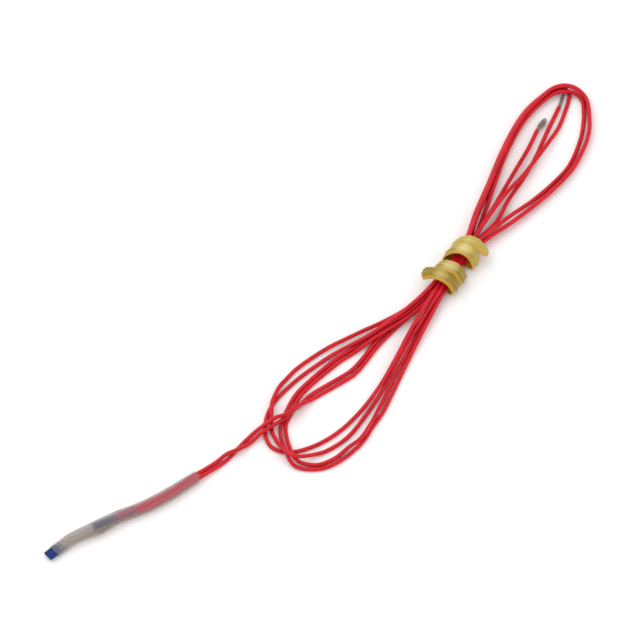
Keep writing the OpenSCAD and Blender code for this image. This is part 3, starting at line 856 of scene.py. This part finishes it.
def yellow_paper():
    """Waxed paper, paler towards the upper windings, with a painted highlight on their crests, painted warm
    shade towards one edge of its outer face and a painted amber glow on its inside.
    """
    m = mottled("yellow_tie",
                [(0.25, (0.26, 0.168, 0.006)), (0.5, (0.32, 0.209, 0.009)), (0.75, (0.38, 0.255, 0.016))],
                scale=300, rough=0.34, bump=0.05, bump_scale=900, rough_swing=0.05,
                values={"Subsurface Weight": 0.15, "Subsurface Radius": (1.0, 0.6, 0.1),
                        "Subsurface Scale": 0.3 * MM, "Specular IOR Level": 0.4})
    middle = Vector((bundle_x, bundle_y, 0))
    lay_over(m, along(m, middle, bundle_axis, -0.5, 2.0, 0.75), PALE_YELLOW)
    # painted highlight on the highest crests of the windings
    lay_over(m, along(m, ORIGIN, UPWARD, 4.8, 5.7, 0.6), PAINTED_CREST_HIGHLIGHT)
    # painted warm shade towards one edge of the strip's outer face
    lay_over(m, span_of(m, "edge_shade", 0, 1, 0, 0.75), PAINTED_EDGE_SHADE)
    # painted amber glow on the strip's inner face
    lay_over(m, span_of(m, "inside", 0.2, 0.8, 0, 0.9), PAINTED_INNER_GLOW)
    return m


def tinned_copper():
    return mottled("tinned_strands",
                   [(0.25, (0.10, 0.085, 0.07)), (0.55, (0.24, 0.20, 0.17)), (0.8, (0.42, 0.37, 0.33))],
                   scale=1600, rough=0.45, bump=0.4, bump_scale=6000, values={"Metallic": 0.6})


def solder(name, dark, light):
    return mottled(name, [(0.3, dark), (0.7, light)], scale=1200, rough=0.45, bump=0.3, bump_scale=4000,
                   values={"Metallic": 0.5})


def platinum():
    return mottled("platinum", [(0.3, (0.30, 0.30, 0.31)), (0.7, (0.44, 0.43, 0.43))],
                   scale=2000, rough=0.35, bump=0.1, bump_scale=6000, values={"Metallic": 0.9})


def blue_ceramic():
    """The chip's body, blue through its glaze."""
    return mottled("ceramic", [(0.3, (0.10, 0.13, 0.24)), (0.7, (0.16, 0.19, 0.30))],
                   scale=1500, rough=0.55, bump=0.2, bump_scale=6000)


def bead_glass():
    return mottled("bead_glass", [(0.3, (0.07, 0.085, 0.19)), (0.7, (0.11, 0.13, 0.25))],
                   scale=1500, rough=0.25, bump=0.1, bump_scale=5000, values={"Alpha": 0.85})


def steel():
    return mottled("steel_wire", [(0.3, (0.2, 0.19, 0.18)), (0.7, (0.36, 0.35, 0.33))],
                   scale=2500, rough=0.4, bump=0.2, bump_scale=7000, values={"Metallic": 0.9})


def pale_floor():
    return mottled("floor", [(0.3, (0.93, 0.93, 0.93)), (0.7, (0.95, 0.95, 0.95))], scale=3, rough=0.9)


def paint(material, *painted):
    for piece in painted:
        piece.data.materials.clear()
        piece.data.materials.append(material)


paint(red_insulation(), lead_a, lead_b)
paint(yellow_paper(), tie)
paint(tinned_copper(), end_a, end_b, bodies["strands_a"], bodies["strands_b"])
paint(milky_sleeve(), outer_sleeve)
paint(violet_sleeve(), inner_sleeve)
paint(blue_glaze(), chip)
paint(solder("solder_blue_grey", (0.07, 0.07, 0.09), (0.13, 0.13, 0.16)), bodies["joint_a"])
paint(solder("solder_brown_grey", (0.12, 0.09, 0.08), (0.26, 0.2, 0.17)), bodies["joint_b"])
paint(platinum(), nodes["platinum_track"], nodes["contact_pads"], bodies["element_wire_a"],
      bodies["element_wire_b"])
paint(blue_ceramic(), nodes["substrate"])
paint(bead_glass(), nodes["fixing_bead"])
paint(steel(), nodes["tie_wire"], *wire_ends)

# Floor and light
FLOOR_HALF = 3
WORLD_STRENGTH = 0.95


def make_floor():
    corners = [(-FLOOR_HALF, -FLOOR_HALF, 0), (FLOOR_HALF, -FLOOR_HALF, 0),
               (FLOOR_HALF, FLOOR_HALF, 0), (-FLOOR_HALF, FLOOR_HALF, 0)]
    floor = mesh_piece("floor", corners, [[0, 1, 2, 3]])
    paint(pale_floor(), floor)


def make_light(name, place, size, power):
    """A square soft light that faces the middle of the view."""
    data = bpy.data.lights.new(name, "AREA")
    data.size = size
    data.energy = power
    light = bpy.data.objects.new(name, data)
    scene.collection.objects.link(light)
    light.location = place
    light.rotation_mode = "QUATERNION"
    light.rotation_quaternion = (VIEW_CENTRE - Vector(place)).to_track_quat("-Z", "Y")


def make_world():
    world = bpy.data.worlds.new("studio")
    world.use_nodes = True
    background = world.node_tree.nodes["Background"]
    background.inputs["Color"].default_value = (1, 1, 1, 1)
    background.inputs["Strength"].default_value = WORLD_STRENGTH
    scene.world = world


make_floor()
make_light("key", place=(-0.15, 0.35, 0.75), size=0.8, power=2.1)
make_light("fill", place=(0.6, -0.5, 0.6), size=0.7, power=0.9)
make_world()
scene.view_settings.view_transform = "Standard"

bpy.context.view_layer.update()
